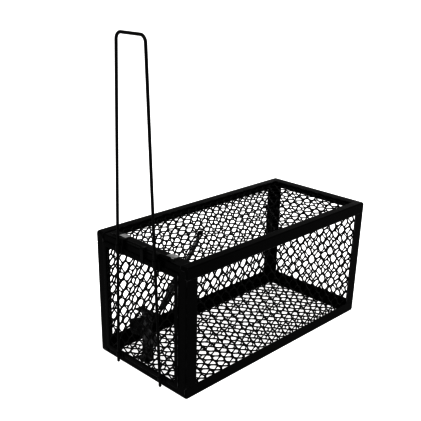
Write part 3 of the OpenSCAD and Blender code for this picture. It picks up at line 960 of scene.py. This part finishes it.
def lever():
    """One wire: two legs that lean inwards, and a cross-bar with round corners."""
    top = lever_high.z - LEVER_R
    foot_z = lever_low.z + LEVER_R
    left = [(leg_y(foot_z), foot_z), (leg_y(top), top)]
    right = [(-y, z) for y, z in reversed(left)]
    flat = rounded(left + right, LEVER_BEND, 7.5)
    path = []
    for a, b in zip(flat, flat[1:]):
        pieces = max(1, int((b - a).length / LEVER_STEP))
        path += [a.lerp(b, i / pieces) for i in range(pieces)]
    path.append(flat[-1])
    points = [Vector((lever_x, y, z)) for y, z in path]
    wire_piece("lever_wire", points, LEVER_R, "door", "wire_paint", ["lever"])


lever()


CLIP_GAP = 0.01 * MM
CLIP_REACH = 4.9 * MM
CLIP_BEND = 0.5 * MM
CLIP_MARGIN = 0.25 * MM
CLIP_EASE = 0.12 * MM


def clip(node, side):
    """A saddle of sheet bent over a leg of the lever, with two feet on the door."""
    low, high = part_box(node)
    mid_z = (low.z + high.z) / 2
    seat_x = high.x - lever_x
    roll_r = LEVER_R + CLIP_GAP + SHEET / 2
    flat_x = seat_x - SHEET / 2
    path = rounded([(flat_x, -CLIP_REACH), (flat_x, -roll_r), (flat_x - MM, -roll_r)], CLIP_BEND)
    path += [Vector(p) for p in arc((0, 0), roll_r, -90, -270, 15)]
    path += rounded([(flat_x - MM, roll_r), (flat_x, roll_r), (flat_x, CLIP_REACH)], CLIP_BEND)
    half = (high.z - low.z) / 2 - CLIP_MARGIN
    turn = Matrix.Rotation(side * atan2(LEVER_SLOPE, 1), 4, "X")
    place = Matrix.Translation(Vector((lever_x, side * leg_y(mid_z), mid_z))) @ turn
    bm = strip_mesh(path, SHEET, (-half, half), lambda p, out: place @ Vector((p[0], p[1], out)))
    ease_edges(bm, CLIP_EASE)
    finish_piece("saddle_" + node, bm, "door", "wire_paint", [node])


for level in ("top", "bottom"):
    clip(f"clip_{level}_left", 1)
    clip(f"clip_{level}_right", -1)

# ---- Bait hook ----

HOOK_R = 1.0 * MM
HOOK_EYE_R = 2.13 * MM
HOOK_SET = radians(35)
HOOK_DROP = 52 * MM
CROOK_R = 5 * MM
HOOK_POINT = 7 * MM
BAR = Vector((0.5 * MM, 10.75 * MM))
NOSE_R = 2.35 * MM
NOSE_TURN = 130
NOSE_TIP = 1.3 * MM
EYE_POINTS = 28
EYE_WIRE = HOOK_R * 1.04


def bait_hook():
    """One wire: nose, stem, a full turn round the pivot wire, a long arm and a crook."""
    stem_angle = atan2(BAR.y, BAR.x) - atan2(NOSE_R, sqrt(BAR.length ** 2 - NOSE_R ** 2))
    start = stem_angle * 180 / pi - 90
    nose = [Vector(p) for p in arc(BAR, NOSE_R, start + NOSE_TURN, start, 12)]
    tip_angle = radians(start + NOSE_TURN + 90)
    tip_run = Vector((cos(tip_angle), sin(tip_angle)))
    upper = [nose[0] + tip_run * NOSE_TIP] + nose
    upper.append(Vector((cos(stem_angle), sin(stem_angle))) * HOOK_EYE_R)
    set_cos, set_sin = cos(HOOK_SET), sin(HOOK_SET)
    turned = [Vector((p.x * set_cos + p.y * set_sin, -p.x * set_sin + p.y * set_cos)) for p in upper]
    crook_z = -HOOK_DROP + CROOK_R
    lower = [Vector((0, -HOOK_EYE_R)), Vector((0, crook_z / 2)), Vector((0, crook_z))]
    lower += [Vector(p) for p in arc((-CROOK_R, crook_z), CROOK_R, 0, -180, 12)[1:]]
    lower.append(Vector((-2 * CROOK_R, crook_z + HOOK_POINT - HOOK_R)))

    def placed(points):
        return [Vector((pivot.x + p.x, 0, pivot.z + p.y)) for p in points]

    bm = bmesh.new()
    tube_mesh(bm, placed(turned), HOOK_R)
    tube_mesh(bm, placed(lower), HOOK_R)
    turns = [2 * pi * i / EYE_POINTS for i in range(EYE_POINTS)]
    eye = [Vector((HOOK_EYE_R * cos(a), HOOK_EYE_R * sin(a))) for a in turns]
    tube_mesh(bm, placed(eye), EYE_WIRE, closed=True)
    finish_piece("hook_wire", bm, "hook", "wire_paint", ["bait_hook"], sharp=60)


bait_hook()
wire_piece(
    "pivot_rod",
    [(pivot.x, y, pivot.z) for y in (pivot_low.y + HOOK_R, 0, pivot_high.y - HOOK_R)],
    (pivot_high.z - pivot_low.z) / 2, "cage", "wire_paint", ["hook_pivot_wire"],
)

# ---- Studio ----

FLOOR_HALF = 40.0
AZIMUTH = -45.64
ELEVATION = 23.67
ROLL = -1.22
AIM_RIGHT = 28.3 * MM
AIM_DOWN = 7.5 * MM
DISTANCE = 722.3 * MM
LENS = 59.68
SHIFT_RIGHT = 0.0023
SHIFT_UP = 0.133
VIEW_GAMMA = 0.5


def floor():
    bm = bmesh.new()
    bmesh.ops.create_grid(bm, x_segments=8, y_segments=8, size=FLOOR_HALF)
    mesh = bpy.data.meshes.new("studio_floor")
    bm.to_mesh(mesh)
    bm.free()
    mesh.materials.append(floor_material())
    obj = bpy.data.objects.new("studio_floor", mesh)
    bpy.context.scene.collection.objects.link(obj)


def area_light(name, direction, distance, size, power):
    """A square soft box that looks at the cage's middle."""
    data = bpy.data.lights.new(name, "AREA")
    data.size = size
    data.energy = power
    lamp = bpy.data.objects.new(name, data)
    back = Vector(direction).normalized()
    lamp.location = cage_middle + back * distance
    lamp.rotation_euler = (-back).to_track_quat("-Z", "Y").to_euler()
    bpy.context.scene.collection.objects.link(lamp)


def world():
    scene_world = bpy.data.worlds.new("studio")
    scene_world.use_nodes = True
    background = scene_world.node_tree.nodes["Background"]
    background.inputs["Color"].default_value = (1, 1, 1, 1)
    background.inputs["Strength"].default_value = 1.0
    bpy.context.scene.world = scene_world
    bpy.context.scene.view_settings.view_transform = "Standard"
    bpy.context.scene.view_settings.gamma = VIEW_GAMMA


def camera():
    az, el, roll = radians(AZIMUTH), radians(ELEVATION), radians(ROLL)
    back = Vector((sin(az) * cos(el), -cos(az) * cos(el), sin(el)))
    right = (-back).cross(Vector((0, 0, 1))).normalized()
    down = (-back).cross(right)
    right, down = right * cos(roll) + down * sin(roll), down * cos(roll) - right * sin(roll)
    data = bpy.data.cameras.new("view")
    data.lens = LENS
    data.shift_x = SHIFT_RIGHT
    data.shift_y = SHIFT_UP
    cam = bpy.data.objects.new("view", data)
    turn = Matrix((right, -down, back)).transposed().to_4x4()
    place = cage_middle - right * AIM_RIGHT - down * AIM_DOWN + back * DISTANCE
    cam.matrix_world = Matrix.Translation(place) @ turn
    bpy.context.scene.collection.objects.link(cam)
    bpy.context.scene.camera = cam


floor()
world()
camera()
area_light("key", (-0.3, -0.5, 1.0), 1.6, 0.7, 24)
area_light("side", (-1.0, 0.25, 0.5), 1.6, 0.5, 8)
